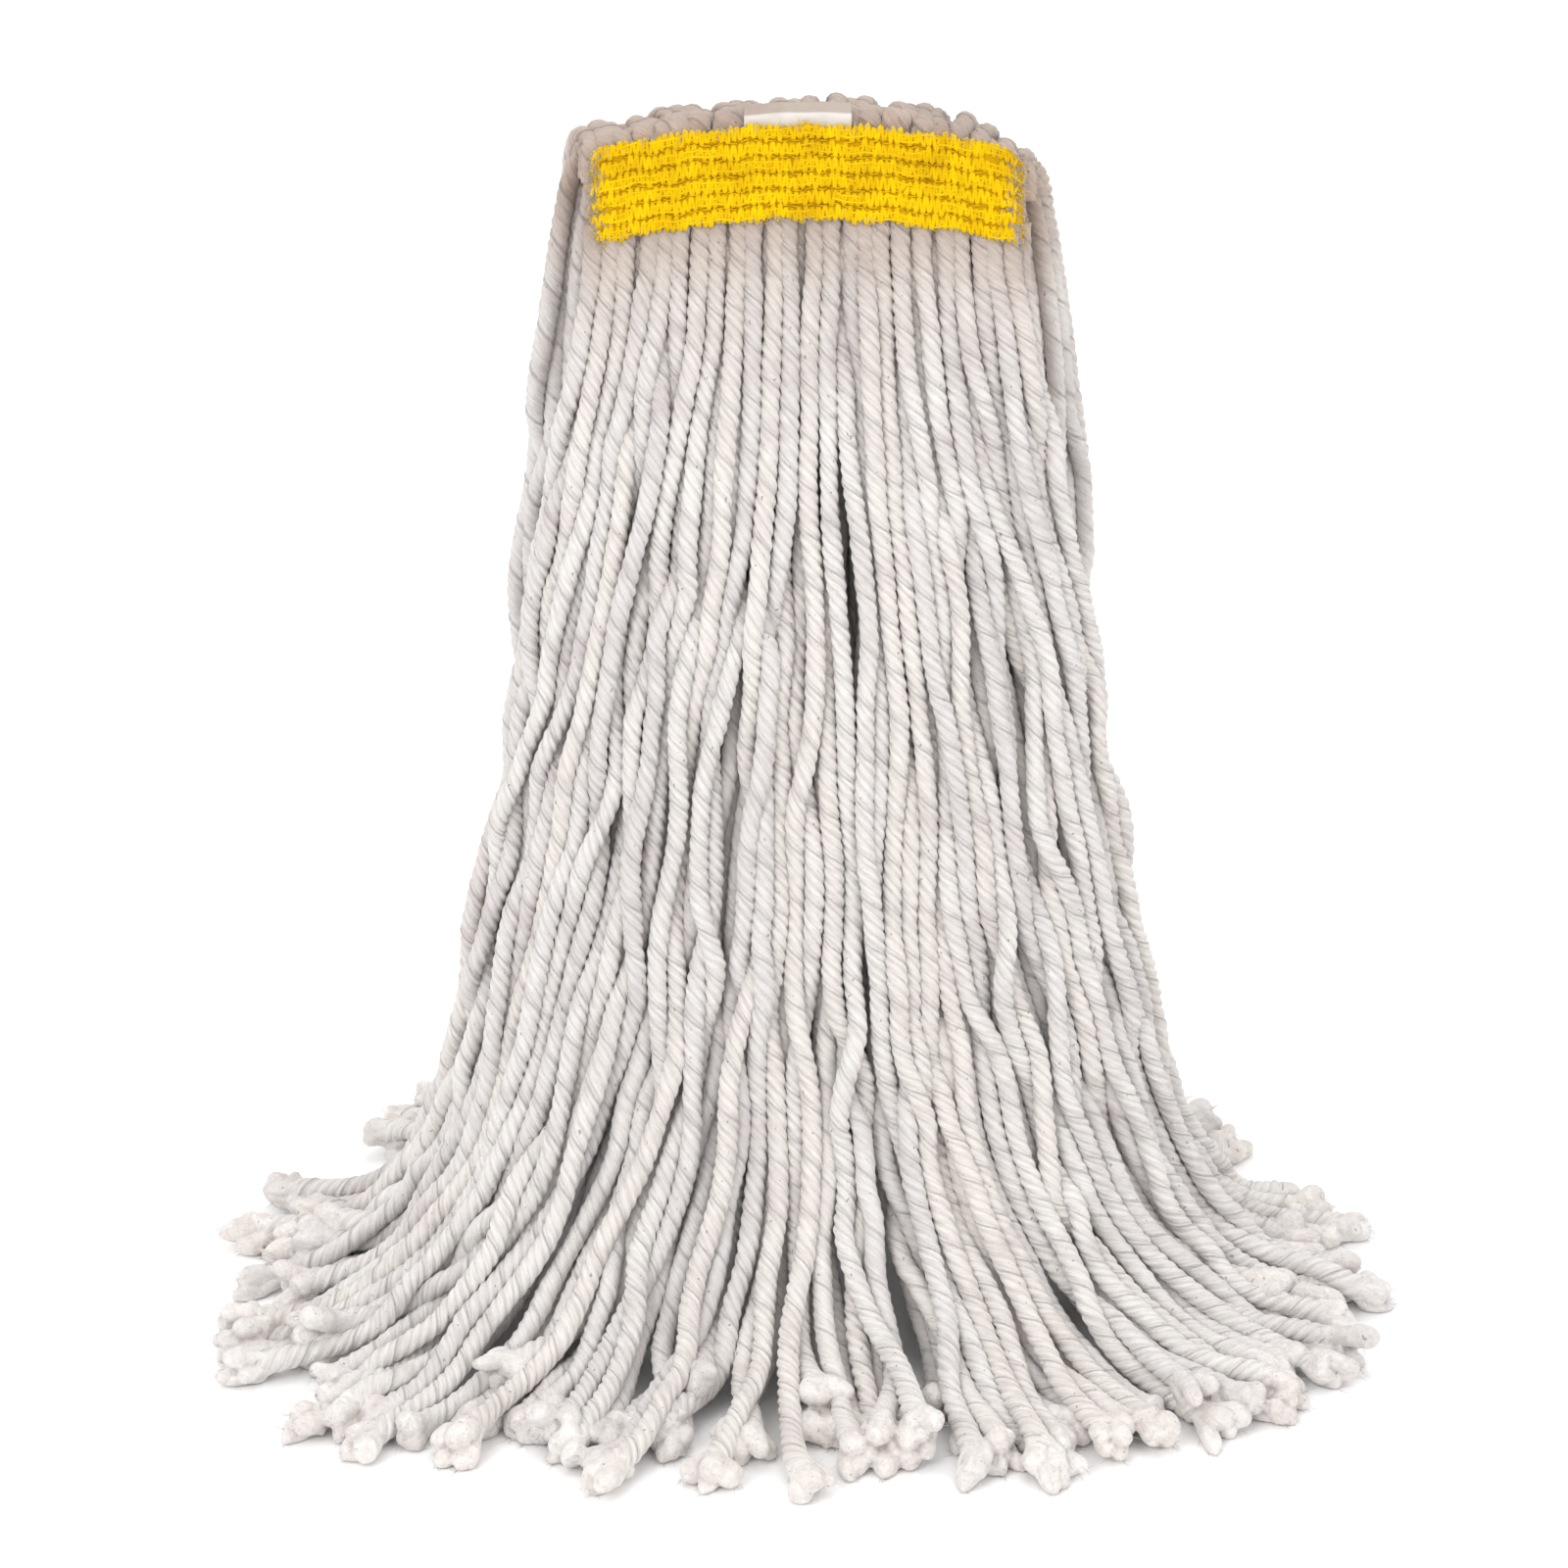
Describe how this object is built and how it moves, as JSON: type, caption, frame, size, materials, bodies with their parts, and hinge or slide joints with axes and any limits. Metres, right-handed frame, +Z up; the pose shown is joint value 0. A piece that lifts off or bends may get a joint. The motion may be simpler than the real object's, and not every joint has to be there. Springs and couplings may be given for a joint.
{
  "type": "string mop head",
  "caption": "Cut-end cotton string mop head with a yellow mesh tape sewn across it; front strands hang, rear strands fold over the top, and the cut ends spread on the floor.",
  "frame": {"origin": "on the floor, under the middle of the strands' spread", "axes": "+Z up; the face of the sewn head looks along -Y; +X runs along the tape, to the right as seen from the front"},
  "size_m": [0.4108, 0.3354, 0.415],
  "materials": {
    "band_tape": "open knitted mesh tape, saturated yellow, matte",
    "seam_thread": "yellow lockstitch thread, slight sheen",
    "cotton_yarn": "four-ply twisted cotton, off-white, matte and fibrous",
    "tag_cloth": "plain white woven tag, blank"
  },
  "bodies": {
    "head": {"head_band_front": "band_tape", "head_band_rear": "band_tape", "yarn_mat_folded": "cotton_yarn", "label_tag": "tag_cloth", "seam_front_1": "seam_thread", "seam_front_2": "seam_thread", "seam_front_3": "seam_thread", "seam_front_4": "seam_thread", "seam_front_5": "seam_thread", "seam_rear_1": "seam_thread", "seam_rear_2": "seam_thread", "seam_rear_3": "seam_thread", "seam_rear_4": "seam_thread", "seam_rear_5": "seam_thread"},
    "front_left": {"lock_front_left_outer_1": "cotton_yarn", "lock_front_left_outer_2": "cotton_yarn", "lock_front_left_outer_3": "cotton_yarn", "lock_front_left_outer_4": "cotton_yarn", "lock_front_left_inner_1": "cotton_yarn", "lock_front_left_inner_2": "cotton_yarn", "lock_front_left_inner_3": "cotton_yarn"},
    "front_centre": {"lock_front_centre_outer_1": "cotton_yarn", "lock_front_centre_outer_2": "cotton_yarn", "lock_front_centre_outer_3": "cotton_yarn", "lock_front_centre_outer_4": "cotton_yarn", "lock_front_centre_inner_1": "cotton_yarn", "lock_front_centre_inner_2": "cotton_yarn", "lock_front_centre_inner_3": "cotton_yarn"},
    "front_right": {"lock_front_right_outer_1": "cotton_yarn", "lock_front_right_outer_2": "cotton_yarn", "lock_front_right_outer_3": "cotton_yarn", "lock_front_right_outer_4": "cotton_yarn", "lock_front_right_inner_1": "cotton_yarn", "lock_front_right_inner_2": "cotton_yarn", "lock_front_right_inner_3": "cotton_yarn"},
    "rear_left": {"lock_rear_left_outer_1": "cotton_yarn", "lock_rear_left_outer_2": "cotton_yarn", "lock_rear_left_outer_3": "cotton_yarn", "lock_rear_left_outer_4": "cotton_yarn", "lock_rear_left_inner_1": "cotton_yarn", "lock_rear_left_inner_2": "cotton_yarn", "lock_rear_left_inner_3": "cotton_yarn"},
    "rear_centre": {"lock_rear_centre_outer_1": "cotton_yarn", "lock_rear_centre_outer_2": "cotton_yarn", "lock_rear_centre_outer_3": "cotton_yarn", "lock_rear_centre_outer_4": "cotton_yarn", "lock_rear_centre_inner_1": "cotton_yarn", "lock_rear_centre_inner_2": "cotton_yarn", "lock_rear_centre_inner_3": "cotton_yarn"},
    "rear_right": {"lock_rear_right_outer_1": "cotton_yarn", "lock_rear_right_outer_2": "cotton_yarn", "lock_rear_right_outer_3": "cotton_yarn", "lock_rear_right_outer_4": "cotton_yarn", "lock_rear_right_inner_1": "cotton_yarn", "lock_rear_right_inner_2": "cotton_yarn", "lock_rear_right_inner_3": "cotton_yarn"}
  },
  "joints": [
    {"name": "front_left_swing", "type": "hinge", "parent": "head", "child": "front_left", "pos_m": [-0.048, 0.0069, 0.3655], "axis": [-0.9864, 0, -0.1644], "range_deg": [0, 75]},
    {"name": "front_centre_swing", "type": "hinge", "parent": "head", "child": "front_centre", "pos_m": [0, 0.0069, 0.3695], "axis": [-1, 0, 0], "range_deg": [0, 75]},
    {"name": "front_right_swing", "type": "hinge", "parent": "head", "child": "front_right", "pos_m": [0.048, 0.0069, 0.3655], "axis": [-0.9864, 0, 0.1644], "range_deg": [0, 75]},
    {"name": "rear_left_swing", "type": "hinge", "parent": "head", "child": "rear_left", "pos_m": [-0.048, 0.0395, 0.391], "axis": [0.9864, 0, 0.1644], "range_deg": [0, 75]},
    {"name": "rear_centre_swing", "type": "hinge", "parent": "head", "child": "rear_centre", "pos_m": [0, 0.0395, 0.395], "axis": [1, 0, 0], "range_deg": [0, 75]},
    {"name": "rear_right_swing", "type": "hinge", "parent": "head", "child": "rear_right", "pos_m": [0.048, 0.0395, 0.391], "axis": [0.9864, 0, -0.1644], "range_deg": [0, 75]}
  ]
}
